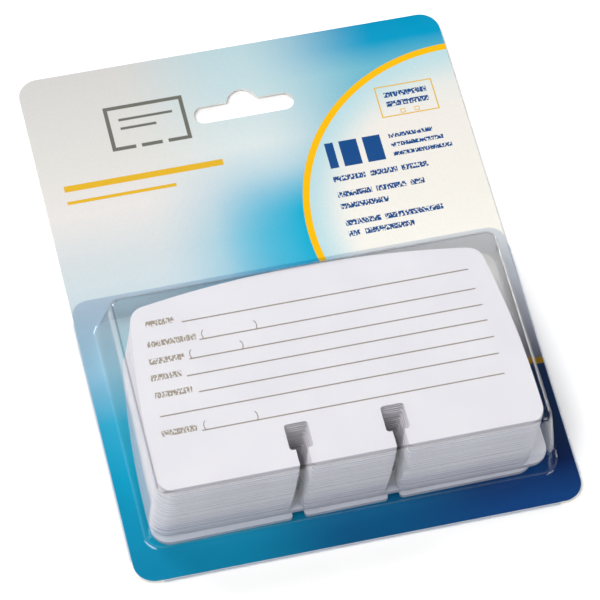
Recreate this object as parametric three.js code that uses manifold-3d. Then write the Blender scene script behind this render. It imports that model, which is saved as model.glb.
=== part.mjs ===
// Blister pack of refill cards for a rotary card file, lying on its back.
// Millimetres. +X runs across the pack, +Y up towards the hang hole, +Z out of the printed face.
// The origin is the middle of the footprint, on the surface that the pack lies on.

import * as THREE from 'three';
import { mergeVertices } from 'three/addons/utils/BufferGeometryUtils.js';
import Module from 'manifold-3d';

const wasm = await Module();
wasm.setup();

// Backing card: printed paperboard.
const BACKING_WIDTH = 119.1;
const BACKING_HEIGHT = 154.3;
const BACKING_THICKNESS = 0.6;
const BACKING_CORNER = 5.5;

// Hang hole: a slot with a round hump on top, centred across the backing card.
const HANG_SLOT_LENGTH = 28;
const HANG_SLOT_HEIGHT = 5.4;
const HANG_SLOT_DROP = 20.3;
const HANG_HUMP_RADIUS = 4.4;
const HANG_HUMP_RISE = 1.8;

// Blister: clear sheet with a flange, folded round three edges of the backing card.
const SHEET = 0.3;
const SHEET_GAP = 0.1;
const FOLD_GAP = 0.15;
const FOLD_BEND = 0.25;
const LIP_WIDTH = 5;
const LIP_END_GAP = 1.5;
const FLANGE_HEIGHT = 83.5;
const FLANGE_TOP_CORNER = 4.5;

// Cavity of the blister, on the outside of the sheet, measured from the backing card's bottom edge.
const CAVITY_WIDTH = 109.8;
const CAVITY_BOTTOM = 8.5;
const CAVITY_TOP = 76.4;
const CAVITY_DEPTH = 21.3;
const CAVITY_DRAFT_X = 2.8;
const CAVITY_DRAFT_Y = 4.9;
const CAVITY_BASE_CORNER = 4.5;
const CAVITY_FACE_CORNER = 3;
const CAVITY_EDGE_BLEND = 1.2;
const CAVITY_FOOT_BLEND = 0.8;

// Refill card: 4 in wide and 2 1/4 in high, with two slots that hook onto the file's rails.
const INCH = 25.4;
const CARD_WIDTH = 4 * INCH;
const CARD_HEIGHT = 2.25 * INCH;
const CARD_FOOT_CORNER = 4.8;
const CARD_HEAD_CORNER = 4.5;
const CARD_ARCH_RADIUS = 278;
const CARD_SIDE_RADIUS = 258;
const CARD_SIDE_START = 8;
const SLOT_SPACING = INCH;
const SLOT_NECK = 3.2;
const SLOT_HEAD = 6.2;
const SLOT_HEAD_START = 5.3;
const SLOT_HEAD_END = 12.7;
const SLOT_HEAD_CORNER = 0.8;
const SLOT_FLARE = 1;

// Stack: loose cards in pairs, numbered from the backing card up.
const CARD_PITCH = 0.206;
const CARD_AIR = 0.016;
const STACK_START = 0.05;
const CARDS_PER_PAIR = 2;
const PAIR_THICKNESS = CARDS_PER_PAIR * CARD_PITCH - CARD_AIR;
const PAIR_PITCH = CARDS_PER_PAIR * CARD_PITCH;
const BOTTOM_PAIRS = 3;
const RIGHT_PAIRS = 4;
const UPPER_PAIRS = 43;
const PAIR_COUNT = BOTTOM_PAIRS + RIGHT_PAIRS + UPPER_PAIRS;

// Where each group of cards lies: across from the pack's middle, and up from the backing's bottom edge.
const BOTTOM_GROUP = { across: -2.2, up: 9.7, turn: 0.5 };
const RIGHT_GROUP = { across: 1.8, up: 10.9, turn: 0 };
const TOP_CARD = { across: -0.35, up: 13.9, turn: 0 };
const LEAN_ACROSS = 2.4;
const LEAN_UP = 3.3;
const LEAN_POWER = 1.4;
const SCATTER_ACROSS = 0.12;
const SCATTER_UP = 0.08;

// Facets on round stretches.
const CORNER_STEPS = 5;
const CARD_CORNER_STEPS = 3;
const CARD_ARCH_STEPS = 6;
const CARD_SIDE_STEPS = 2;
const BLEND_STEPS = 3;

// Heights above the surface that the pack lies on.
const BACKING_BACK = SHEET + SHEET_GAP;
const BACKING_FACE = BACKING_BACK + BACKING_THICKNESS;
const FLANGE_BACK = BACKING_FACE + SHEET_GAP;
const FLANGE_FACE = FLANGE_BACK + SHEET;
const CAVITY_FACE = BACKING_FACE + CAVITY_DEPTH;

// The folds stand outside the backing card, so the footprint's middle is a little below the card's.
const FOLD_OUT = FOLD_GAP + SHEET;
const BACKING_EDGE_Y = FOLD_OUT - (BACKING_HEIGHT + FOLD_OUT) / 2;

const board = new THREE.MeshStandardMaterial({ color: 0x2a86b4, roughness: 0.45, metalness: 0 });
const clearSheet = new THREE.MeshStandardMaterial({
  color: 0xdfe3f0,
  roughness: 0.08,
  metalness: 0,
  transparent: true,
  opacity: 0.3,
});
const cardStock = new THREE.MeshStandardMaterial({ color: 0xe9e7ef, roughness: 0.8, metalness: 0 });

// Points along a circular arc, both ends included.
function arc(centreX, centreY, radius, fromDegrees, toDegrees, steps) {
  const points = [];
  for (let step = 0; step <= steps; step += 1) {
    const angle = THREE.MathUtils.degToRad(fromDegrees + ((toDegrees - fromDegrees) * step) / steps);
    points.push(new THREE.Vector2(centreX + radius * Math.cos(angle), centreY + radius * Math.sin(angle)));
  }
  return points;
}

// A rectangle with round corners, counter-clockwise from its lower left corner.
function roundedRectangle(left, low, right, high, lowRadius, highRadius, steps) {
  return [
    ...arc(left + lowRadius, low + lowRadius, lowRadius, 180, 270, steps),
    ...arc(right - lowRadius, low + lowRadius, lowRadius, 270, 360, steps),
    ...arc(right - highRadius, high - highRadius, highRadius, 0, 90, steps),
    ...arc(left + highRadius, high - highRadius, highRadius, 90, 180, steps),
  ];
}

function extrude(shape, depth) {
  return new THREE.ExtrudeGeometry(shape, { depth, bevelEnabled: false, curveSegments: 1 });
}

function toSolid(geometry) {
  const bare = geometry.clone();
  bare.deleteAttribute('normal');
  bare.deleteAttribute('uv');
  const merged = mergeVertices(bare, 1e-4);
  const vertProperties = new Float32Array(merged.attributes.position.array);
  const triVerts = new Uint32Array(merged.index.array);
  return new wasm.Manifold(new wasm.Mesh({ numProp: 3, vertProperties, triVerts }));
}

function toGeometry(solid) {
  const mesh = solid.getMesh();
  const geometry = new THREE.BufferGeometry();
  geometry.setAttribute('position', new THREE.BufferAttribute(new Float32Array(mesh.vertProperties), 3));
  geometry.setIndex(new THREE.BufferAttribute(new Uint32Array(mesh.triVerts), 1));
  geometry.computeVertexNormals();
  return geometry;
}

// A closed skin through rings of equally many points, capped flat at both ends.
function loft(rings) {
  const count = rings[0].length;
  const vertices = rings.flat().flatMap((point) => [point.x, point.y, point.z]);
  const faces = [];
  for (let level = 0; level + 1 < rings.length; level += 1) {
    for (let side = 0; side < count; side += 1) {
      const next = (side + 1) % count;
      const a = level * count + side;
      const b = level * count + next;
      faces.push(a, b, b + count, a, b + count, a + count);
    }
  }
  const last = (rings.length - 1) * count;
  for (let side = 1; side + 1 < count; side += 1) {
    faces.push(0, side + 1, side);
    faces.push(last, last + side, last + side + 1);
  }
  const geometry = new THREE.BufferGeometry();
  geometry.setAttribute('position', new THREE.BufferAttribute(new Float32Array(vertices), 3));
  geometry.setIndex(faces);
  return geometry;
}

// The outline of the hang hole, clockwise as a hole is.
function hangHole() {
  const middle = BACKING_HEIGHT - HANG_SLOT_DROP;
  const endRadius = HANG_SLOT_HEIGHT / 2;
  const endX = HANG_SLOT_LENGTH / 2 - endRadius;
  const foot = THREE.MathUtils.radToDeg(Math.asin((endRadius - HANG_HUMP_RISE) / HANG_HUMP_RADIUS));
  return new THREE.Path([
    ...arc(-endX, middle, endRadius, 270, 90, 2 * CORNER_STEPS),
    ...arc(0, middle + HANG_HUMP_RISE, HANG_HUMP_RADIUS, 180 - foot, foot, 2 * CORNER_STEPS),
    ...arc(endX, middle, endRadius, 90, -90, 2 * CORNER_STEPS),
  ]);
}

function backingCard() {
  const half = BACKING_WIDTH / 2;
  const corner = BACKING_CORNER;
  const outline = roundedRectangle(-half, 0, half, BACKING_HEIGHT, corner, corner, CORNER_STEPS);
  const shape = new THREE.Shape(outline);
  shape.holes.push(hangHole());
  return extrude(shape, BACKING_THICKNESS);
}

// One level of the cavity. rise runs from 0 at the flange to 1 at the face, spread is the
// extra width at the foot, and inset moves the whole ring inwards.
function cavityRing(rise, spread, inset, z) {
  const shrinkX = CAVITY_DRAFT_X * rise + inset - spread;
  const shrinkY = CAVITY_DRAFT_Y * rise + inset - spread;
  const half = CAVITY_WIDTH / 2 - shrinkX;
  const low = CAVITY_BOTTOM + shrinkY;
  const high = CAVITY_TOP - shrinkY;
  const radius = THREE.MathUtils.lerp(CAVITY_BASE_CORNER, CAVITY_FACE_CORNER, rise) - inset + spread;
  const outline = roundedRectangle(-half, low, half, high, radius, radius, CORNER_STEPS);
  return outline.map((point) => new THREE.Vector3(point.x, point.y, z));
}

// The cavity as a plug: the outer plug has no inset, and the inner one is a sheet smaller.
function cavityPlug(inset, start) {
  const foot = FLANGE_FACE - inset;
  const face = CAVITY_FACE - inset;
  const footBlend = CAVITY_FOOT_BLEND + inset;
  const edgeBlend = CAVITY_EDGE_BLEND - inset;
  const height = CAVITY_FACE - FLANGE_FACE;
  const rings = [cavityRing(0, footBlend, inset, start)];
  for (let step = 0; step <= BLEND_STEPS; step += 1) {
    const angle = (step / BLEND_STEPS) * (Math.PI / 2);
    const z = foot + footBlend * (1 - Math.cos(angle));
    rings.push(cavityRing((z - foot) / height, footBlend * (1 - Math.sin(angle)), inset, z));
  }
  for (let step = 0; step <= BLEND_STEPS; step += 1) {
    const angle = (step / BLEND_STEPS) * (Math.PI / 2);
    const z = face - edgeBlend * (1 - Math.sin(angle));
    rings.push(cavityRing((z - foot) / height, -edgeBlend * (1 - Math.cos(angle)), inset, z));
  }
  return toSolid(loft(rings));
}

// The sheet's section where it folds round the right edge: u runs outwards from that edge.
function foldSection() {
  const bend = FOLD_BEND;
  const inside = -FOLD_BEND;
  return new THREE.Shape([
    new THREE.Vector2(-LIP_WIDTH, 0),
    ...arc(FOLD_OUT - bend, bend, bend, 270, 360, 2),
    ...arc(FOLD_OUT - bend, FLANGE_FACE - bend, bend, 0, 90, 2),
    new THREE.Vector2(inside, FLANGE_FACE),
    new THREE.Vector2(inside, FLANGE_BACK),
    new THREE.Vector2(FOLD_GAP, FLANGE_BACK),
    new THREE.Vector2(FOLD_GAP, SHEET),
    new THREE.Vector2(-LIP_WIDTH, SHEET),
  ]);
}

// A fold of the given length, standing along +Y with its outside towards +X.
function fold(length) {
  const geometry = extrude(foldSection(), length);
  geometry.rotateX(Math.PI / 2);
  geometry.translate(0, length, 0);
  return geometry;
}

function sideFold(side) {
  const start = BACKING_CORNER + LIP_END_GAP;
  const length = FLANGE_HEIGHT - FLANGE_TOP_CORNER - LIP_END_GAP - start;
  const geometry = fold(length);
  if (side < 0) {
    geometry.translate(0, -length, 0);
    geometry.rotateZ(Math.PI);
  }
  geometry.translate(side * (BACKING_WIDTH / 2), start, 0);
  return toSolid(geometry);
}

function bottomFold() {
  const length = BACKING_WIDTH - 2 * (BACKING_CORNER + LIP_END_GAP);
  const geometry = fold(length);
  geometry.rotateZ(-Math.PI / 2);
  geometry.translate(-length / 2, 0, 0);
  return toSolid(geometry);
}

function flange() {
  const half = BACKING_WIDTH / 2;
  const low = BACKING_CORNER;
  const high = FLANGE_TOP_CORNER;
  const outline = roundedRectangle(-half, 0, half, FLANGE_HEIGHT, low, high, CORNER_STEPS);
  const geometry = extrude(new THREE.Shape(outline), SHEET);
  geometry.translate(0, 0, FLANGE_BACK);
  return toSolid(geometry);
}

function blister() {
  const outside = cavityPlug(0, FLANGE_BACK + SHEET / 2);
  const inside = cavityPlug(SHEET, FLANGE_BACK - SHEET);
  const formed = flange().add(outside).subtract(inside);
  return toGeometry(formed.add(sideFold(1)).add(sideFold(-1)).add(bottomFold()));
}

// The crossing of two circles that lies furthest along +X.
function circleCrossing(first, firstRadius, second, secondRadius) {
  const between = second.clone().sub(first);
  const distance = between.length();
  const along = (distance ** 2 + firstRadius ** 2 - secondRadius ** 2) / (2 * distance);
  const off = Math.sqrt(firstRadius ** 2 - along ** 2);
  const unit = between.divideScalar(distance);
  const middle = first.clone().addScaledVector(unit, along);
  const across = new THREE.Vector2(-unit.y, unit.x);
  const sign = across.x > 0 ? 1 : -1;
  return middle.addScaledVector(across, sign * off);
}

function degreesFrom(centre, point) {
  return THREE.MathUtils.radToDeg(Math.atan2(point.y - centre.y, point.x - centre.x));
}

// The right half of the card above its foot corner: bowed side, round corner and arched head.
function cardRightHalf() {
  const archCentre = new THREE.Vector2(0, CARD_HEIGHT - CARD_ARCH_RADIUS);
  const sideCentre = new THREE.Vector2(CARD_WIDTH / 2 - CARD_SIDE_RADIUS, CARD_SIDE_START);
  const round = CARD_HEAD_CORNER;
  const corner = circleCrossing(archCentre, CARD_ARCH_RADIUS - round, sideCentre, CARD_SIDE_RADIUS - round);
  const sideEnd = degreesFrom(sideCentre, corner);
  const archStart = degreesFrom(archCentre, corner);
  const archSteps = CARD_ARCH_STEPS / 2;
  return [
    ...arc(sideCentre.x, sideCentre.y, CARD_SIDE_RADIUS, 0, sideEnd, CARD_SIDE_STEPS),
    ...arc(corner.x, corner.y, round, sideEnd, archStart, CARD_CORNER_STEPS).slice(1),
    ...arc(archCentre.x, archCentre.y, CARD_ARCH_RADIUS, archStart, 90, archSteps).slice(1),
  ];
}

// One slot, from the left of its mouth to the right: flared mouth, neck and wider head.
function slotOutline(centreX) {
  const neck = SLOT_NECK / 2;
  const round = SLOT_HEAD_CORNER;
  const headX = SLOT_HEAD / 2 - round;
  const low = SLOT_HEAD_START + round;
  const high = SLOT_HEAD_END - round;
  return [
    ...arc(centreX - neck - SLOT_FLARE, SLOT_FLARE, SLOT_FLARE, 270, 360, 2),
    new THREE.Vector2(centreX - neck, SLOT_HEAD_START),
    ...arc(centreX - headX, low, round, 270, 180, 1),
    ...arc(centreX - headX, high, round, 180, 90, 1),
    ...arc(centreX + headX, high, round, 90, 0, 1),
    ...arc(centreX + headX, low, round, 0, -90, 1),
    new THREE.Vector2(centreX + neck, SLOT_HEAD_START),
    ...arc(centreX + neck + SLOT_FLARE, SLOT_FLARE, SLOT_FLARE, 180, 270, 2),
  ];
}

function cardOutline() {
  const foot = CARD_FOOT_CORNER;
  const footX = CARD_WIDTH / 2 - foot;
  const right = cardRightHalf();
  const left = right.slice(0, -1).reverse().map((point) => new THREE.Vector2(-point.x, point.y));
  return [
    ...arc(-footX, foot, foot, 180, 270, CARD_CORNER_STEPS),
    ...slotOutline(-SLOT_SPACING / 2),
    ...slotOutline(SLOT_SPACING / 2),
    ...arc(footX, foot, foot, 270, 360, CARD_CORNER_STEPS),
    ...right,
    ...left,
  ];
}

// A repeatable scatter between -1 and 1 for the pair of that number.
function scatter(number, seed) {
  const wave = Math.sin(number * 12.9898 + seed * 78.233) * 43758.5453;
  return 2 * (wave - Math.floor(wave)) - 1;
}

// Where a pair lies. The upper pairs lean down the blister's sloping walls, away from the top card.
function pairPlace(number) {
  if (number <= BOTTOM_PAIRS) {
    return BOTTOM_GROUP;
  }
  if (number <= BOTTOM_PAIRS + RIGHT_PAIRS) {
    return RIGHT_GROUP;
  }
  const below = (PAIR_COUNT - number) / (UPPER_PAIRS - 1);
  return {
    across: TOP_CARD.across - LEAN_ACROSS * below ** LEAN_POWER,
    up: TOP_CARD.up - LEAN_UP * below,
    turn: TOP_CARD.turn,
  };
}

function addPart(group, name, geometry, material) {
  const mesh = new THREE.Mesh(geometry, material.clone());
  mesh.name = name;
  group.add(mesh);
  return mesh;
}

function addCards(group) {
  const geometry = extrude(new THREE.Shape(cardOutline()), PAIR_THICKNESS);
  for (let number = 1; number <= PAIR_COUNT; number += 1) {
    const pair = addPart(group, `card_pair_${String(number).padStart(2, '0')}`, geometry, cardStock);
    const place = pairPlace(number);
    const loose = number < PAIR_COUNT ? 1 : 0;
    pair.position.set(
      place.across + loose * SCATTER_ACROSS * scatter(number, 1),
      place.up + loose * SCATTER_UP * scatter(number, 2),
      BACKING_FACE + STACK_START + (number - 1) * PAIR_PITCH,
    );
    pair.rotation.z = THREE.MathUtils.degToRad(place.turn);
  }
}

const pack = new THREE.Group();
pack.position.y = BACKING_EDGE_Y;
addPart(pack, 'backing_card', backingCard(), board).position.z = BACKING_BACK;
addPart(pack, 'blister', blister(), clearSheet);
addCards(pack);
pack.updateMatrixWorld(true);

export default pack;
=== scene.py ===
"""Looks of a blister pack of refill cards. Metres, in the frame of the CAD model."""

import math

import bmesh
import bpy
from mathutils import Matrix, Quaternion, Vector


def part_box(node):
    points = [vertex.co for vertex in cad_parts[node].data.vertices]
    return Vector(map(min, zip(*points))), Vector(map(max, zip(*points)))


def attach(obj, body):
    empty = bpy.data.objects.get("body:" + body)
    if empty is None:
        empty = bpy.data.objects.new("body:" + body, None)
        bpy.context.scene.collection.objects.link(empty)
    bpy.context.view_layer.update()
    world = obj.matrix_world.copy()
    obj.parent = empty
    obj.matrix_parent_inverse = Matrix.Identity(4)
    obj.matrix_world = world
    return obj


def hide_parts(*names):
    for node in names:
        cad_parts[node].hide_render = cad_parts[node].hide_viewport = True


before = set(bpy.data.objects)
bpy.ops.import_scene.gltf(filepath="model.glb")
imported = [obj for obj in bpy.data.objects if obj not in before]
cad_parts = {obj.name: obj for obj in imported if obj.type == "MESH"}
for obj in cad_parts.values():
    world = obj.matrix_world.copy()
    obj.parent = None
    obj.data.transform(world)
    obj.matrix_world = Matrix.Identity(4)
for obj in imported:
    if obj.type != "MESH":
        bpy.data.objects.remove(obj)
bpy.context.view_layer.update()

MM = 0.001

# Camera: where it looks, how far off it is, and how it is turned.
CAMERA_TARGET = Vector((0.68, -4.70, 1.0)) * MM
CAMERA_DISTANCE = 962.9 * MM
CAMERA_AZIMUTH = math.radians(-19.81)
CAMERA_ELEVATION = math.radians(60.44)
CAMERA_ROLL = math.radians(6.96)
CAMERA_LENS = 217.2
CAMERA_SENSOR = 36.0

# Light: a sky that pales towards the horizon, and soft boxes clear of the direction that the flat
# faces mirror to the camera. Each box has a name, a place in metres, a size and a power in watts.
ZENITH_STRENGTH = 0.05
HORIZON_STRENGTH = 0.95
HORIZON_RISE = 0.06
ZENITH_RISE = 0.50
BACKDROP_STRENGTH = 1.0
SOFT_BOXES = [
    ("key", Vector((-1.70, -0.45, 2.80)), 2.4, 90.0),
    ("back", Vector((-1.30, 2.70, 2.30)), 1.3, 60.0),
    ("right_front", Vector((1.80, -1.20, 2.40)), 1.6, 28.0),
    ("right_rim", Vector((2.60, 1.44, 1.00)), 1.0, 27.0),
]
FLOOR_SIZE = 3.2
FLOOR_GAP = 0.0001
FLOOR_COLOUR = (0.97, 0.97, 0.97, 1.0)

# Backing card, in millimetres.
BACKING_CORNER = 5.5
HANG_SLOT_LENGTH = 28.0
HANG_SLOT_HEIGHT = 5.4
HANG_SLOT_DROP = 20.3
HANG_HUMP_RADIUS = 4.4
HANG_HUMP_RISE = 1.8

# Blister, in millimetres, its cavity measured from the backing card's bottom edge.
SHEET = 0.3
FOLD_OUT = 0.45
FOLD_BEND = 0.32
LIP_WIDTH = 5.0
LIP_END_GAP = 1.5
FLANGE_HEIGHT = 83.5
FLANGE_TOP_CORNER = 4.5
FLANGE_FACE = 1.4
CAVITY_WIDTH = 109.8
CAVITY_BOTTOM = 8.5
CAVITY_TOP = 76.4
CAVITY_DRAFT_X = 2.8
CAVITY_DRAFT_Y = 4.9
CAVITY_BASE_CORNER = 4.5
CAVITY_FACE_CORNER = 3.0
CAVITY_EDGE_BLEND = 1.2
CAVITY_FOOT_BLEND = 0.8
SUPPORT = 0.35

# Refill card, in millimetres.
CARD_WIDTH = 101.6
CARD_HEIGHT = 57.15
CARD_FOOT_CORNER = 4.8
CARD_HEAD_CORNER = 4.5
CARD_ARCH_RADIUS = 278.0
CARD_SIDE_RADIUS = 258.0
CARD_SIDE_START = 8.0
SLOT_SPACING = 25.4
SLOT_NECK = 3.2
SLOT_HEAD = 6.2
SLOT_HEAD_START = 5.3
SLOT_HEAD_END = 12.7
SLOT_HEAD_CORNER = 0.8
SLOT_FLARE = 1.0
CARD_THICKNESS = 0.19
CARD_PITCH = 0.206
PAIR_COUNT = 50
BOTTOM_PAIRS = 3
RIGHT_PAIRS = 4
BOTTOM_TURN = math.radians(0.5)

# Facets on round stretches.
CORNER_STEPS = 12
BLEND_STEPS = 8
ARCH_STEPS = 20
SHARP_ANGLE = math.radians(35)


def arc(centre_x, centre_y, radius, start, end, steps):
    """Points along a circular arc, both ends included, angles in degrees."""
    points = []
    for step in range(steps + 1):
        angle = math.radians(start + (end - start) * step / steps)
        points.append((centre_x + radius * math.cos(angle), centre_y + radius * math.sin(angle)))
    return points


def rounded_rectangle(left, low, right, high, low_radius, high_radius, steps=CORNER_STEPS):
    """Counter-clockwise from the lower left corner."""
    return (
        arc(left + low_radius, low + low_radius, low_radius, 180, 270, steps)
        + arc(right - low_radius, low + low_radius, low_radius, 270, 360, steps)
        + arc(right - high_radius, high - high_radius, high_radius, 0, 90, steps)
        + arc(left + high_radius, high - high_radius, high_radius, 90, 180, steps)
    )


def without_repeats(points):
    kept = []
    for point in points:
        if not kept or math.dist(point, kept[-1]) > 1e-4:
            kept.append(point)
    if math.dist(kept[0], kept[-1]) <= 1e-4:
        kept.pop()
    return kept


def closed_loop(mesh, points, z):
    """Vertices and edges of one closed outline, given in millimetres."""
    verts = [mesh.verts.new((x * MM, y * MM, z * MM)) for x, y in points]
    edges = [mesh.edges.new((verts[i - 1], verts[i])) for i in range(len(verts))]
    return verts, edges


def bridge(mesh, lower, upper):
    for i in range(len(lower)):
        mesh.faces.new((lower[i - 1], lower[i], upper[i], upper[i - 1]))


def add_plate(mesh, outlines, low, high):
    """A closed flat plate between two heights; outlines after the first are holes."""
    caps = {low: [], high: []}
    for outline in outlines:
        points = without_repeats(outline)
        lower, low_edges = closed_loop(mesh, points, low)
        upper, high_edges = closed_loop(mesh, points, high)
        bridge(mesh, lower, upper)
        caps[low] += low_edges
        caps[high] += high_edges
    for edges in caps.values():
        bmesh.ops.triangle_fill(mesh, use_beauty=True, edges=edges)


def finish_mesh(mesh, name, place, turn=0.0):
    """Turns a bmesh into a linked object whose origin is at the given place."""
    data = bpy.data.meshes.new(name)
    mesh.to_mesh(data)
    mesh.free()
    for polygon in data.polygons:
        polygon.use_smooth = True
    data.set_sharp_from_angle(angle=SHARP_ANGLE)
    piece = bpy.data.objects.new(name, data)
    bpy.context.scene.collection.objects.link(piece)
    piece.location = place
    piece.rotation_euler = (0.0, 0.0, turn)
    return piece


class Graph:
    """A material and short ways to add nodes to it."""

    def __init__(self, name):
        self.material = bpy.data.materials.new(name)
        self.material.use_nodes = True
        self.tree = self.material.node_tree
        self.tree.nodes.clear()
        coordinates = self.node("ShaderNodeTexCoord").outputs["Object"]
        scaled = self.node("ShaderNodeVectorMath", {0: coordinates}, operation="SCALE")
        scaled.inputs["Scale"].default_value = 1.0 / MM
        self.place = scaled.outputs[0]
        apart = self.node("ShaderNodeSeparateXYZ", {0: self.place})
        self.x, self.y, self.z = apart.outputs

    def node(self, kind, inputs=None, **settings):
        node = self.tree.nodes.new(kind)
        for key, value in settings.items():
            setattr(node, key, value)
        for key, value in (inputs or {}).items():
            self.feed(node.inputs[key], value)
        return node

    def feed(self, socket, value):
        if isinstance(value, bpy.types.NodeSocket):
            self.tree.links.new(value, socket)
        else:
            socket.default_value = value

    def math(self, operation, first, second=0.0):
        return self.node("ShaderNodeMath", {0: first, 1: second}, operation=operation).outputs[0]

    def span(self, value, start, end, low=0.0, high=1.0, smooth=True):
        """value from start to end as low to high, held beyond them."""
        kind = "SMOOTHSTEP" if smooth else "LINEAR"
        node = self.node("ShaderNodeMapRange", {0: value, 1: start, 2: end, 3: low, 4: high})
        node.interpolation_type = kind
        return node.outputs[0]

    def mix(self, factor, first, second, blend="MIX"):
        node = self.tree.nodes.new("ShaderNodeMix")
        node.data_type = "RGBA"
        node.blend_type = blend
        self.feed(node.inputs[0], factor)
        self.feed(node.inputs[6], first)
        self.feed(node.inputs[7], second)
        return node.outputs[2]

    def ramp(self, value, start, end, stops):
        """Colours at places between start and end, given as (place, colour), blended evenly."""
        node = self.node("ShaderNodeValToRGB", {0: self.span(value, start, end, smooth=False)})
        elements = node.color_ramp.elements
        while len(elements) < len(stops):
            elements.new(0.5)
        for element, (place, shade) in zip(elements, sorted(stops)):
            element.position = (place - start) / (end - start)
            element.color = shade
        return node.outputs[0]

    def noise(self, scale, detail=3.0, roughness=0.5, stretch=(1.0, 1.0, 1.0)):
        vector = self.node("ShaderNodeVectorMath", {0: self.place, 1: stretch}, operation="MULTIPLY")
        return self.node(
            "ShaderNodeTexNoise",
            {"Vector": vector.outputs[0], "Scale": scale, "Detail": detail, "Roughness": roughness},
        ).outputs[0]

    def box(self, left, low, right, high):
        """Signed distance to a rectangle in millimetres, below 0 inside."""
        centre = ((left + right) / 2, (low + high) / 2, 0.0)
        half = ((right - left) / 2, (high - low) / 2, 0.0)
        off = self.node("ShaderNodeVectorMath", {0: self.place, 1: centre}, operation="SUBTRACT")
        size = self.node("ShaderNodeVectorMath", {0: off.outputs[0]}, operation="ABSOLUTE")
        over = self.node("ShaderNodeVectorMath", {0: size.outputs[0], 1: half}, operation="SUBTRACT")
        apart = self.node("ShaderNodeSeparateXYZ", {0: over.outputs[0]})
        return self.math("MAXIMUM", apart.outputs[0], apart.outputs[1])

    def reach(self, centre):
        """Distance in millimetres from an upright axis through the centre."""
        off = self.node("ShaderNodeVectorMath", {0: self.place, 1: centre}, operation="SUBTRACT")
        flat = self.node("ShaderNodeVectorMath", {0: off.outputs[0], 1: (1, 1, 0)}, operation="MULTIPLY")
        length = self.node("ShaderNodeVectorMath", {0: flat.outputs[0]}, operation="LENGTH")
        return length.outputs["Value"]

    def union(self, distances):
        whole = distances[0]
        for distance in distances[1:]:
            whole = self.math("MINIMUM", whole, distance)
        return whole

    def ink(self, distance, soft=0.1):
        """1 inside the shape, 0 outside, with a soft edge."""
        return self.span(distance, soft, -soft)

    def outline(self, distance, width):
        return self.math("SUBTRACT", self.math("ABSOLUTE", distance), width / 2)

    def finish(self, shader):
        self.node("ShaderNodeOutputMaterial", {0: shader})
        return self.material


def colour(text):
    """A linear colour from a web colour."""
    parts = [int(text[i : i + 2], 16) / 255 for i in (1, 3, 5)]
    linear = [p / 12.92 if p <= 0.04045 else ((p + 0.055) / 1.055) ** 2.4 for p in parts]
    return (*linear, 1.0)


# Print on the backing card, in millimetres from its lower left corner, with painted light and shade where the
# blister covers it.
RING_CENTRE = (118.8, 92.0, 0.0)
RING_RADIUS = 50.5
RING_WIDTH = 1.9
PRINT_HEIGHT = 154.3
LEFT_END = 24.0
PRINT_MIDDLE = 60.0
RIGHT_START = 101.0
# Where each effect fades in or out: from nothing to full, along x, y or away from the ring.
GLOW_WIDTH = (25.0, 2.0)
GLOW_TOP = (116.0, 98.0)
GLOW_FOOT = (50.0, 76.0)
# Painted light: a lighter, bluer patch right of the cards under the blister, standing in for light that the
# clear sheet brings in there.
PAINTED_LIGHT_LEFT = (90.0, 103.0)
PAINTED_LIGHT_RIGHT = (114.0, 108.0)
PAINTED_LIGHT_LOW = (6.0, 14.0)
PAINTED_LIGHT_HIGH = (46.0, 38.0)
VEIL_WIDTH = (-13.0, 0.0)
VEIL_FOOT = (70.0, 84.0)
OCHRE_START = (75.0, 50.0)
PRINT_THIN = (0.81, 0.81, 0.81, 1.0)
PRINT_FULL = (0.78, 0.78, 0.78, 1.0)
GOLD = colour("#E8B830")
RING_YELLOW = colour("#FFC20E")
RING_OCHRE = colour("#C2901A")
INK_BLUE = colour("#1C4F8C")
MARK_GREY = colour("#72736B")
INNER_BLUE = colour("#BEDFE6")
RING_GLOW = colour("#1FB0D4")
# Colour of the painted light right of the cards under the blister.
PAINTED_LIGHT_BLUE = colour("#1B5594")

LEFT_STOPS = [
    (154, colour("#D7D5D2")),
    (126, colour("#E3E1DC")),
    (110, colour("#EBE7E4")),
    (94, colour("#D6DEE1")),
    (80, colour("#CEDFE5")),
    (62, colour("#B6E4F0")),
    (46, colour("#3FCBE6")),
    (30, colour("#08BEDD")),
    (6, colour("#049FC0")),
]
MIDDLE_STOPS = [
    (154, colour("#BCD7DD")),
    (141, colour("#C6DDE2")),
    (122, colour("#DEE8E8")),
    (106, colour("#A4CEE0")),
    (94, colour("#78C5DC")),
    (84, colour("#76C1DA")),
    (40, colour("#0AA0CC")),
    (4, colour("#046A98")),
]
RIGHT_STOPS = [
    (154, colour("#0096C2")),
    (148, colour("#009CC8")),
    (140, colour("#6CBAD0")),
    (100, colour("#1FA9CC")),
    (44, colour("#223A62")),
    (24, colour("#1C3A64")),
    (12, colour("#0A2C60")),
    (2, colour("#165292")),
]
# Inside the ring, cream above and grey below 68 mm: the grey is partly the print and partly painted shade in
# the cavity beside the cards.
INNER_PRINT_AND_SHADE_STOPS = [
    (140, colour("#E2E9E6")),
    (122, colour("#F2EEE7")),
    (82, colour("#F8F5EC")),
    (68, colour("#F2F0EC")),
    (56, colour("#D2CFCF")),
    (42, colour("#7C7E86")),
]

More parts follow.
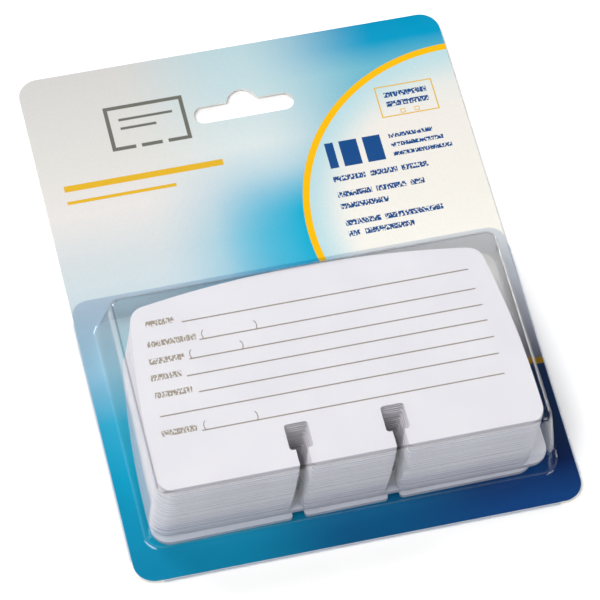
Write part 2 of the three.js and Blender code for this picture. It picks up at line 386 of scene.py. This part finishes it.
# Greeked print: plain strokes where the card has words. Each row is left, right, middle height.
TEXT_ROWS = [
    (78.0, 87.0, 106.7),
    (88.4, 96.0, 106.7),
    (97.2, 104.7, 106.7),
    (78.0, 87.6, 101.7),
    (88.8, 97.2, 101.7),
    (98.4, 102.3, 101.7),
    (78.0, 91.3, 98.0),
    (78.0, 87.8, 92.7),
    (89.0, 105.2, 92.7),
    (78.0, 81.2, 89.3),
    (82.6, 96.3, 89.3),
]
STROKE_STRETCH = (2.1, 1.1, 0.0)
STROKE_LEVELS = (0.40, 0.50)
TEXT_HEIGHT = 1.7
SMALL_ROWS = [
    (96.2, 108.6, 117.2),
    (96.2, 111.0, 114.3),
    (96.2, 112.7, 111.4),
]
SMALL_HEIGHT = 1.3
COUNT_BLOCKS = [
    (78.2, 110.2, 80.6, 118.3),
    (82.2, 110.2, 87.2, 118.3),
    (88.8, 110.2, 93.8, 118.3),
]
TITLE_BARS = [
    (6.0, 117.4, 50.0, 119.3),
    (6.0, 113.4, 36.0, 114.4),
]
LABEL_BOX = (96.2, 123.3, 112.2, 133.0)
LABEL_LINE = 0.35
LABEL_SLOT_LINE = 0.22
LABEL_ROWS = [
    (98.2, 110.2, 130.2),
    (98.2, 110.2, 127.2),
]
LABEL_SLOTS = [
    (101.6, 123.9, 102.8, 125.0),
    (105.6, 123.9, 106.8, 125.0),
]
MARK_CARD = (22.0, 128.0, 43.0, 141.0)
MARK_LINE = 1.1
MARK_NOTCHES = [
    (28.0, 127.0, 29.6, 130.6),
    (35.4, 127.0, 37.0, 130.6),
]
MARK_ROWS = [
    (25.0, 136.6, 40.0, 137.4),
    (25.0, 133.8, 35.0, 134.6),
]


def rows_of_strokes(graph, rows, height):
    boxes = [graph.box(left, y - height / 2, right, y + height / 2) for left, right, y in rows]
    return graph.ink(graph.union(boxes))


def field_colour(graph, inside):
    """The gradient outside the ring, from pale at the left to deep blue at the lower right, with a painted
    pool of lighter blue light right of the cards under the blister.
    """
    left = graph.ramp(graph.y, 0.0, PRINT_HEIGHT, LEFT_STOPS)
    middle = graph.ramp(graph.y, 0.0, PRINT_HEIGHT, MIDDLE_STOPS)
    right = graph.ramp(graph.y, 0.0, PRINT_HEIGHT, RIGHT_STOPS)
    field = graph.mix(graph.span(graph.x, LEFT_END, PRINT_MIDDLE), left, middle)
    field = graph.mix(graph.span(graph.x, PRINT_MIDDLE, RIGHT_START), field, right)
    spread = graph.span(inside, *GLOW_WIDTH, smooth=False)
    glow = graph.math("MULTIPLY", spread, graph.span(graph.y, *GLOW_TOP))
    glow = graph.math("MULTIPLY", glow, graph.span(graph.y, *GLOW_FOOT))
    field = graph.mix(glow, field, RING_GLOW)
    # Painted light: a lighter blue patch beside the cards, where light comes in through the sheet.
    across = graph.math("MULTIPLY", graph.span(graph.x, *PAINTED_LIGHT_LEFT), graph.span(graph.x, *PAINTED_LIGHT_RIGHT))
    along = graph.math("MULTIPLY", graph.span(graph.y, *PAINTED_LIGHT_LOW), graph.span(graph.y, *PAINTED_LIGHT_HIGH))
    return graph.mix(graph.math("MULTIPLY", across, along), field, PAINTED_LIGHT_BLUE)


def ring_colour(graph):
    """The gradient, the paler disc inside the ring, and the ring itself. The disc turns grey towards its
    foot, partly its print and partly painted shade beside the cards inside the blister.
    """
    inside = graph.math("SUBTRACT", graph.reach(RING_CENTRE), RING_RADIUS)
    # Painted shade in the disc's grey foot, on top of its print.
    inner = graph.ramp(graph.y, 0.0, PRINT_HEIGHT, INNER_PRINT_AND_SHADE_STOPS)
    veil = graph.math("MULTIPLY", graph.span(inside, *VEIL_WIDTH), graph.span(graph.y, *VEIL_FOOT))
    inner = graph.mix(veil, inner, INNER_BLUE)
    shade = graph.mix(graph.ink(inside), field_colour(graph, inside), inner)
    band = graph.ink(graph.outline(inside, RING_WIDTH))
    ring = graph.mix(graph.span(graph.y, *OCHRE_START), RING_YELLOW, RING_OCHRE)
    return graph.mix(band, shade, ring)


def print_colour(graph):
    """Gradient, ring and greeked print of the backing card's face, with painted light and shade where the
    blister covers it.
    """
    shade = ring_colour(graph)
    strokes = graph.span(graph.noise(1.0, 1.0, 0.5, STROKE_STRETCH), *STROKE_LEVELS)
    words = rows_of_strokes(graph, TEXT_ROWS + LABEL_ROWS, TEXT_HEIGHT)
    small = rows_of_strokes(graph, SMALL_ROWS, SMALL_HEIGHT)
    words = graph.math("MULTIPLY", graph.math("MAXIMUM", words, small), strokes)
    shade = graph.mix(words, shade, INK_BLUE)
    blocks = graph.ink(graph.union([graph.box(*block) for block in COUNT_BLOCKS]))
    shade = graph.mix(blocks, shade, INK_BLUE)
    bars = graph.ink(graph.union([graph.box(*bar) for bar in TITLE_BARS]))
    shade = graph.mix(bars, shade, GOLD)
    label = graph.outline(graph.box(*LABEL_BOX), LABEL_LINE)
    slots = [graph.outline(graph.box(*slot), LABEL_SLOT_LINE) for slot in LABEL_SLOTS]
    shade = graph.mix(graph.ink(graph.union([label] + slots)), shade, GOLD)
    card = graph.outline(graph.box(*MARK_CARD), MARK_LINE)
    notches = graph.union([graph.box(*notch) for notch in MARK_NOTCHES])
    card = graph.math("MAXIMUM", card, graph.math("MULTIPLY", notches, -1.0))
    mark = graph.union([card] + [graph.box(*row) for row in MARK_ROWS])
    return graph.mix(graph.ink(mark), shade, MARK_GREY)


def printed_board():
    """Printed paperboard face: ink over a faint board texture that thins it a little."""
    graph = Graph("printed_board")
    grain = graph.noise(2.2, 4.0, 0.6)
    density = graph.mix(graph.span(grain, 0.35, 0.65), PRINT_THIN, PRINT_FULL)
    shade = graph.mix(1.0, print_colour(graph), density, "MULTIPLY")
    bump = graph.node("ShaderNodeBump", {"Height": grain, "Distance": 0.00002, "Strength": 0.25})
    rough = graph.span(graph.noise(0.15, 2.0), 0.3, 0.7, 0.34, 0.46)
    shader = graph.node(
        "ShaderNodeBsdfPrincipled",
        {"Base Color": shade, "Roughness": rough, "Normal": bump.outputs[0]},
    )
    shader.inputs["Specular IOR Level"].default_value = 0.12
    return graph.finish(shader.outputs[0])


def paper(name, pale, dark, scale=3.0, printed=None):
    """Uncoated paper: fibres in colour and bump, matt, with an optional print on top."""
    graph = Graph(name)
    fibre = graph.noise(scale, 5.0, 0.65, (1.0, 0.4, 1.0))
    cloud = graph.noise(0.06, 2.0)
    mottle = graph.math("ADD", graph.math("MULTIPLY", fibre, 0.6), graph.math("MULTIPLY", cloud, 0.4))
    shade = graph.mix(graph.span(mottle, 0.3, 0.7), dark, pale)
    if printed:
        shade = printed(graph, shade)
    bump = graph.node("ShaderNodeBump", {"Height": fibre, "Distance": 0.00002, "Strength": 0.35})
    rough = graph.span(cloud, 0.3, 0.7, 0.72, 0.86)
    shader = graph.node(
        "ShaderNodeBsdfPrincipled",
        {"Base Color": shade, "Roughness": rough, "Normal": bump.outputs[0]},
    )
    return graph.finish(shader.outputs[0])


# Ruled form on a refill card, from the middle of its bottom edge: line height, left and right end.
FORM_LINES = [
    (47.3, -34.4, 42.4),
    (41.3, -31.1, 42.8),
    (36.3, -34.9, 43.3),
    (31.6, -36.6, 43.4),
    (26.5, -34.6, 43.8),
    (21.5, -45.9, 43.7),
    (15.5, -36.3, 43.6),
]
FORM_WORDS = [
    (-43.8, -36.3, 48.4),
    (-44.6, -31.8, 42.4),
    (-45.2, -36.0, 37.4),
    (-45.9, -37.8, 32.7),
    (-45.9, -36.1, 27.6),
    (-46.6, -37.4, 16.6),
]
FORM_BRACKETS = [
    (-30.2, 42.5, -1),
    (-15.7, 42.5, 1),
    (-34.5, 37.5, -1),
    (-20.5, 37.5, 1),
    (-35.6, 16.7, -1),
    (-21.5, 16.7, 1),
]
FORM_INK = colour("#968B7C")
FORM_WORD_INK = colour("#A09584")
LINE_WIDTH = 0.36
FORM_SOFT = 0.08
WORD_HEIGHT = 1.7
WORD_STRETCH = (2.3, 1.1, 0.0)
WORD_LEVELS = (0.42, 0.52)
BRACKET_HEIGHT = 2.8
BRACKET_WIDTH = 0.26
BRACKET_RADIUS = 2.1


def bracket(graph, x, y, side):
    """A short arc that bows to the left (side -1) or to the right (side 1)."""
    reach = graph.reach((x - side * BRACKET_RADIUS, y, 0.0))
    curve = graph.outline(graph.math("SUBTRACT", reach, BRACKET_RADIUS), BRACKET_WIDTH)
    half = BRACKET_HEIGHT / 2
    return graph.math("MAXIMUM", curve, graph.box(x - 1.0, y - half, x + 1.0, y + half))


def ruled_form(graph, shade):
    lines = [graph.box(a, y - LINE_WIDTH / 2, b, y + LINE_WIDTH / 2) for y, a, b in FORM_LINES]
    shade = graph.mix(graph.ink(graph.union(lines), FORM_SOFT), shade, FORM_INK)
    strokes = graph.span(graph.noise(1.0, 1.0, 0.5, WORD_STRETCH), *WORD_LEVELS)
    words = graph.math("MULTIPLY", rows_of_strokes(graph, FORM_WORDS, WORD_HEIGHT), strokes)
    brackets = [bracket(graph, x, y, side) for x, y, side in FORM_BRACKETS]
    shade = graph.mix(graph.ink(graph.union(brackets), FORM_SOFT), shade, FORM_INK)
    return graph.mix(words, shade, FORM_WORD_INK)


# Clear sheet. Light passes a surface four times on its way in and out, and each pass takes the tint.
SQUARE_GLOSS = 0.045
GLOSS_POWER = 4.0
SQUARE_TINT = (1.0, 0.998, 0.999, 1.0)
ASLANT_TINT = (0.95, 0.965, 0.985, 1.0)
FLANGE_TINT = (0.935, 0.955, 0.99, 1.0)
# Along the top bend the tint is deeper: partly the longer path through the sheet, partly a painted dark
# reflection of the bend.
BEND_TINT_AND_PAINTED_REFLECTION = (0.80, 0.80, 0.82, 1.0)
ASLANT_START = (0.1, 0.4)
GRAZING_FADE = (0.5, 0.75, 1.0, 0.25)
BEND_UPPER = (0.99, 0.955)
BEND_LOWER = (0.72, 0.86)
BEND_REACH = (2.0, 1.6)
WAVE_DEPTH = 0.0004


def clear_sheet(face):
    """Clear formed sheet: a tinted see-through body, darker along the bend where a painted dark reflection
    adds to the tint, and a gloss that grows aslant.
    """
    graph = Graph("clear_sheet")
    facing = graph.node("ShaderNodeLayerWeight", {"Blend": 0.5}).outputs["Facing"]
    aslant = graph.math("POWER", facing, GLOSS_POWER)
    mirror = graph.math("ADD", SQUARE_GLOSS, graph.math("MULTIPLY", aslant, 1.0 - SQUARE_GLOSS))
    deep = graph.math("MULTIPLY", graph.span(facing, *ASLANT_START), graph.span(facing, *GRAZING_FADE))
    tint = graph.mix(deep, SQUARE_TINT, ASLANT_TINT)
    low = graph.span(graph.z, FLANGE_FACE + 0.5, FLANGE_FACE + 0.1)
    tint = graph.mix(low, tint, FLANGE_TINT)
    # Painted dark reflection along the top edge's bend, with the deeper tint of its longer path through the
    # sheet.
    normal = graph.node("ShaderNodeTexCoord").outputs["Normal"]
    level = graph.math("ABSOLUTE", graph.node("ShaderNodeSeparateXYZ", {0: normal}).outputs[2])
    bend = graph.math("MULTIPLY", graph.span(level, *BEND_UPPER), graph.span(level, *BEND_LOWER))
    near = [face - below for below in BEND_REACH]
    bend = graph.math("MULTIPLY", bend, graph.span(graph.z, *near))
    tint = graph.mix(bend, tint, BEND_TINT_AND_PAINTED_REFLECTION)
    waves = graph.noise(0.05, 2.0)
    bump = graph.node("ShaderNodeBump", {"Height": waves, "Distance": WAVE_DEPTH, "Strength": 0.35})
    through = graph.node("ShaderNodeBsdfTransparent", {"Color": tint})
    rough = graph.span(graph.noise(0.3, 2.0), 0.3, 0.7, 0.02, 0.05)
    gloss = graph.node("ShaderNodeBsdfGlossy", {"Roughness": rough, "Normal": bump.outputs[0]})
    shader = graph.node("ShaderNodeMixShader", {0: mirror, 1: through.outputs[0], 2: gloss.outputs[0]})
    return graph.finish(shader.outputs[0])


def hang_hole(middle_x, height):
    middle = height - HANG_SLOT_DROP
    end = HANG_SLOT_HEIGHT / 2
    reach = HANG_SLOT_LENGTH / 2 - end
    foot = math.degrees(math.asin((end - HANG_HUMP_RISE) / HANG_HUMP_RADIUS))
    return (
        arc(middle_x - reach, middle, end, 270, 90, 16)
        + arc(middle_x, middle + HANG_HUMP_RISE, HANG_HUMP_RADIUS, 180 - foot, foot, 20)
        + arc(middle_x + reach, middle, end, 90, -90, 16)
    )


def make_board():
    low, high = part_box("backing_card")
    width, height, thick = ((high - low) / MM)[:]
    outline = rounded_rectangle(0, 0, width, height, BACKING_CORNER, BACKING_CORNER)
    mesh = bmesh.new()
    add_plate(mesh, [outline, hang_hole(width / 2, height)], 0.0, thick)
    bmesh.ops.recalc_face_normals(mesh, faces=mesh.faces)
    piece = finish_mesh(mesh, "backing_board", low)
    core = paper("board_core", colour("#F2F0EC"), colour("#DCD8D0"), 6.0)
    back = paper("board_back", colour("#D9D5CC"), colour("#C6C1B6"), 2.0)
    for material in (printed_board(), core, back):
        piece.data.materials.append(material)
    for polygon in piece.data.polygons:
        up = polygon.normal.z
        polygon.material_index = 0 if up > 0.5 else 2 if up < -0.5 else 1
    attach(piece, "backing")
    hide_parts("backing_card")


def cavity_ring(rise, spread, bottom):
    """One level of the cavity: rise is 0 at the flange and 1 at the face."""
    shrink_x = CAVITY_DRAFT_X * rise - spread
    shrink_y = CAVITY_DRAFT_Y * rise - spread
    half = CAVITY_WIDTH / 2 - shrink_x
    low = bottom + CAVITY_BOTTOM + shrink_y
    high = bottom + CAVITY_TOP - shrink_y
    radius = CAVITY_BASE_CORNER + (CAVITY_FACE_CORNER - CAVITY_BASE_CORNER) * rise + spread
    return rounded_rectangle(-half, low, half, high, radius, radius)


def cavity_levels(face):
    """(height, spread) of each ring, from the foot blend up to just inside the face's edge."""
    levels = []
    for step in range(BLEND_STEPS + 1):
        angle = math.pi / 2 * step / BLEND_STEPS
        rise = CAVITY_FOOT_BLEND * (1 - math.cos(angle))
        levels.append((FLANGE_FACE + rise, CAVITY_FOOT_BLEND * (1 - math.sin(angle))))
    levels.append((FLANGE_FACE + CAVITY_FOOT_BLEND + SUPPORT, 0.0))
    levels.append((face - CAVITY_EDGE_BLEND - SUPPORT, 0.0))
    for step in range(BLEND_STEPS + 1):
        angle = math.pi / 2 * step / BLEND_STEPS
        drop = CAVITY_EDGE_BLEND * (1 - math.sin(angle))
        levels.append((face - drop, -CAVITY_EDGE_BLEND * (1 - math.cos(angle))))
    levels.append((face, -CAVITY_EDGE_BLEND - SUPPORT))
    return levels


def fold_profile():
    """How far out and how high the folded sheet's outside runs, from flange to lip."""
    bend = FOLD_BEND
    out = FOLD_OUT - bend
    return (
        arc(out, FLANGE_FACE - bend, bend, 90, 0, 5)
        + arc(out, bend, bend, 0, -90, 5)
        + [(-LIP_WIDTH, 0.0)]
    )


def add_fold(mesh, first, last, outward):
    """A strip from a straight stretch of the flange's edge, round the board to the lip."""
    previous = (first, last)
    for out, height in fold_profile():
        ends = []
        for corner in (first, last):
            x = corner.co.x + outward[0] * out * MM
            y = corner.co.y + outward[1] * out * MM
            ends.append(mesh.verts.new((x, y, height * MM)))
        mesh.faces.new((previous[0], previous[1], ends[1], ends[0]))
        previous = ends


def flange_outline(half, bottom):
    """The flange's outline, with a corner at each end of each fold."""
    start = BACKING_CORNER + LIP_END_GAP
    end = FLANGE_HEIGHT - FLANGE_TOP_CORNER - LIP_END_GAP
    outline = rounded_rectangle(
        -half, bottom, half, bottom + FLANGE_HEIGHT, BACKING_CORNER, FLANGE_TOP_CORNER
    )
    corner = CORNER_STEPS + 1
    low_left, low_right = outline[:corner], outline[corner : 2 * corner]
    high_right, high_left = outline[2 * corner : 3 * corner], outline[3 * corner :]
    bottom_ends = [(-half + start, bottom), (half - start, bottom)]
    right_ends = [(half, bottom + start), (half, bottom + end)]
    left_ends = [(-half, bottom + end), (-half, bottom + start)]
    points = low_left + bottom_ends + low_right + right_ends + high_right + high_left + left_ends
    return points, (bottom_ends, right_ends, left_ends)


def nearest(verts, point):
    goal = Vector((point[0] * MM, point[1] * MM))
    return min(verts, key=lambda vert: (vert.co.xy - goal).length)


def make_blister():
    board_low, board_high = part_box("backing_card")
    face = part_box("blister")[1].z / MM
    half = (board_high.x - board_low.x) / 2 / MM
    bottom = board_low.y / MM
    mesh = bmesh.new()
    outline, folds = flange_outline(half, bottom)
    outer, edges = closed_loop(mesh, outline, FLANGE_FACE)
    below = None
    for height, spread in cavity_levels(face):
        rise = (height - FLANGE_FACE) / (face - FLANGE_FACE)
        ring, ring_edges = closed_loop(mesh, cavity_ring(rise, spread, bottom), height)
        if below is None:
            bmesh.ops.triangle_fill(mesh, use_beauty=True, edges=edges + ring_edges)
        else:
            bridge(mesh, below, ring)
        below = ring
    mesh.faces.new(below)
    for ends, outward in zip(folds, ((0, -1), (1, 0), (-1, 0))):
        add_fold(mesh, nearest(outer, ends[0]), nearest(outer, ends[1]), outward)
    bmesh.ops.recalc_face_normals(mesh, faces=mesh.faces)
    top = max(mesh.faces, key=lambda item: item.calc_center_median().z)
    if top.normal.z < 0:
        bmesh.ops.reverse_faces(mesh, faces=mesh.faces)
    piece = finish_mesh(mesh, "blister_shell", (0, 0, 0))
    solid = piece.modifiers.new("thickness", "SOLIDIFY")
    solid.thickness = SHEET * MM
    solid.offset = -1.0
    solid.use_even_offset = True
    bpy.context.view_layer.update()
    settled = piece.evaluated_get(bpy.context.evaluated_depsgraph_get())
    data = bpy.data.meshes.new_from_object(settled)
    piece.modifiers.clear()
    piece.data = data
    data.set_sharp_from_angle(angle=SHARP_ANGLE)
    data.materials.append(clear_sheet(face))
    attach(piece, "blister")
    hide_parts("blister")


def circle_crossing(first, first_radius, second, second_radius):
    """The crossing of two circles that lies furthest along +X."""
    between = second - first
    distance = between.length
    along = (distance**2 + first_radius**2 - second_radius**2) / (2 * distance)
    off = math.sqrt(first_radius**2 - along**2)
    unit = between / distance
    across = Vector((-unit.y, unit.x))
    if across.x < 0:
        across = -across
    return first + unit * along + across * off


def degrees_from(centre, point):
    return math.degrees(math.atan2(point.y - centre.y, point.x - centre.x))


def card_right_half():
    """Bowed side, round corner and arched head, up to the middle of the arch."""
    arch = Vector((0.0, CARD_HEIGHT - CARD_ARCH_RADIUS))
    side = Vector((CARD_WIDTH / 2 - CARD_SIDE_RADIUS, CARD_SIDE_START))
    round_off = CARD_HEAD_CORNER
    corner = circle_crossing(arch, CARD_ARCH_RADIUS - round_off, side, CARD_SIDE_RADIUS - round_off)
    side_end = degrees_from(side, corner)
    arch_start = degrees_from(arch, corner)
    return (
        arc(side.x, side.y, CARD_SIDE_RADIUS, 0, side_end, 8)
        + arc(corner.x, corner.y, round_off, side_end, arch_start, 8)[1:]
        + arc(arch.x, arch.y, CARD_ARCH_RADIUS, arch_start, 90, ARCH_STEPS // 2)[1:]
    )


def slot_outline(centre):
    """One rail slot, from the left of its mouth to the right."""
    neck = SLOT_NECK / 2
    round_off = SLOT_HEAD_CORNER
    head = SLOT_HEAD / 2 - round_off
    low = SLOT_HEAD_START + round_off
    high = SLOT_HEAD_END - round_off
    return (
        arc(centre - neck - SLOT_FLARE, SLOT_FLARE, SLOT_FLARE, 270, 360, 4)
        + [(centre - neck, SLOT_HEAD_START)]
        + arc(centre - head, low, round_off, 270, 180, 3)
        + arc(centre - head, high, round_off, 180, 90, 3)
        + arc(centre + head, high, round_off, 90, 0, 3)
        + arc(centre + head, low, round_off, 0, -90, 3)
        + [(centre + neck, SLOT_HEAD_START)]
        + arc(centre + neck + SLOT_FLARE, SLOT_FLARE, SLOT_FLARE, 180, 270, 4)
    )


def card_outline():
    foot = CARD_FOOT_CORNER
    foot_x = CARD_WIDTH / 2 - foot
    right = card_right_half()
    left = [(-x, y) for x, y in reversed(right[:-1])]
    return (
        arc(-foot_x, foot, foot, 180, 270, 8)
        + slot_outline(-SLOT_SPACING / 2)
        + slot_outline(SLOT_SPACING / 2)
        + arc(foot_x, foot, foot, 270, 360, 8)
        + right
        + left
    )


def pair_body(number):
    if number <= BOTTOM_PAIRS:
        return "bottom_cards", BOTTOM_TURN
    if number <= BOTTOM_PAIRS + RIGHT_PAIRS:
        return "right_cards", 0.0
    return "upper_cards", 0.0


def lowest_corner(outline, turn):
    """The outline's lowest x and y once it is turned about its origin."""
    turned = [
        (x * math.cos(turn) - y * math.sin(turn), x * math.sin(turn) + y * math.cos(turn))
        for x, y in outline
    ]
    return min(x for x, _ in turned), min(y for _, y in turned)


CARD_PALE = colour("#EAE8EA")
CARD_DARK = colour("#E2E0E4")
# Cut edges of the cards: the same paper as the faces, drawn darker as painted shade on the stack's sides and
# in the rail slots.
SHADED_EDGE_PALE = colour("#C9C7CB")
SHADED_EDGE_DARK = colour("#BCB9BE")


def make_cards():
    outline = card_outline()
    plain = paper("card_paper", CARD_PALE, CARD_DARK)
    ruled = paper("card_form", CARD_PALE, CARD_DARK, printed=ruled_form)
    # Edge paper darker than the faces: painted shade on the stack's sides and in the slots.
    edge = paper("card_edge_painted_shade", SHADED_EDGE_PALE, SHADED_EDGE_DARK)
    for number in range(1, PAIR_COUNT + 1):
        node = f"card_pair_{number:02d}"
        body, turn = pair_body(number)
        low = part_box(node)[0]
        left, down = lowest_corner(outline, turn)
        mesh = bmesh.new()
        for card in range(2):
            start = card * CARD_PITCH
            add_plate(mesh, [outline], start, start + CARD_THICKNESS)
        bmesh.ops.recalc_face_normals(mesh, faces=mesh.faces)
        place = (low.x - left * MM, low.y - down * MM, low.z)
        piece = finish_mesh(mesh, f"cards_{number:02d}", place, turn)
        piece.data.materials.append(plain)
        piece.data.materials.append(edge)
        for polygon in piece.data.polygons:
            polygon.material_index = 0 if abs(polygon.normal.z) > 0.5 else 1
        if number == PAIR_COUNT:
            piece.data.materials.append(ruled)
            face = max(vert.co.z for vert in piece.data.vertices)
            for polygon in piece.data.polygons:
                if polygon.center.z > face - 0.01 * MM:
                    polygon.material_index = 2
        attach(piece, body)
        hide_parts(node)


def make_camera():
    back = Vector((
        math.sin(CAMERA_AZIMUTH) * math.cos(CAMERA_ELEVATION),
        -math.cos(CAMERA_AZIMUTH) * math.cos(CAMERA_ELEVATION),
        math.sin(CAMERA_ELEVATION),
    ))
    data = bpy.data.cameras.new("camera")
    data.lens = CAMERA_LENS
    data.sensor_width = CAMERA_SENSOR
    camera = bpy.data.objects.new("camera", data)
    camera.location = CAMERA_TARGET + back * CAMERA_DISTANCE
    camera.rotation_mode = "QUATERNION"
    level = back.to_track_quat("Z", "Y")
    camera.rotation_quaternion = level @ Quaternion((0, 0, 1), CAMERA_ROLL)
    bpy.context.scene.collection.objects.link(camera)
    bpy.context.scene.camera = camera


def make_floor():
    half = FLOOR_SIZE / 2
    square = ((-half, -half), (half, -half), (half, half), (-half, half))
    mesh = bmesh.new()
    corners = [mesh.verts.new((x, y, -FLOOR_GAP)) for x, y in square]
    mesh.faces.new(corners)
    floor = finish_mesh(mesh, "floor", (0, 0, 0))
    graph = Graph("floor_white")
    shader = graph.node("ShaderNodeBsdfDiffuse", {"Color": FLOOR_COLOUR})
    floor.data.materials.append(graph.finish(shader.outputs[0]))


def make_sky():
    """A sky that is dim overhead and paler at the horizon, shown to the camera as a white backdrop."""
    world = bpy.data.worlds.new("studio")
    world.use_nodes = True
    tree = world.node_tree
    sky = tree.nodes["Background"]
    sky.inputs["Color"].default_value = (1.0, 1.0, 1.0, 1.0)
    path = tree.nodes.new("ShaderNodeLightPath")
    towards = tree.nodes.new("ShaderNodeTexCoord")
    apart = tree.nodes.new("ShaderNodeSeparateXYZ")
    tree.links.new(towards.outputs["Generated"], apart.inputs[0])
    level = tree.nodes.new("ShaderNodeMapRange")
    for name, value in (
        ("From Min", HORIZON_RISE),
        ("From Max", ZENITH_RISE),
        ("To Min", HORIZON_STRENGTH),
        ("To Max", ZENITH_STRENGTH),
    ):
        level.inputs[name].default_value = value
    tree.links.new(apart.outputs["Z"], level.inputs["Value"])
    shown = tree.nodes.new("ShaderNodeMapRange")
    shown.inputs["To Max"].default_value = BACKDROP_STRENGTH
    tree.links.new(path.outputs["Is Camera Ray"], shown.inputs["Value"])
    tree.links.new(level.outputs[0], shown.inputs["To Min"])
    tree.links.new(shown.outputs[0], sky.inputs["Strength"])
    bpy.context.scene.world = world


def make_soft_box(name, place, size, power):
    data = bpy.data.lights.new(name, "AREA")
    data.shape = "DISK"
    data.size = size
    data.energy = power
    lamp = bpy.data.objects.new(name, data)
    lamp.location = place
    lamp.rotation_mode = "QUATERNION"
    lamp.rotation_quaternion = place.to_track_quat("Z", "Y")
    bpy.context.scene.collection.objects.link(lamp)


make_camera()
make_sky()
for soft_box in SOFT_BOXES:
    make_soft_box(*soft_box)
make_floor()
make_board()
make_blister()
make_cards()
bpy.context.scene.view_settings.view_transform = "Standard"

bpy.context.view_layer.update()
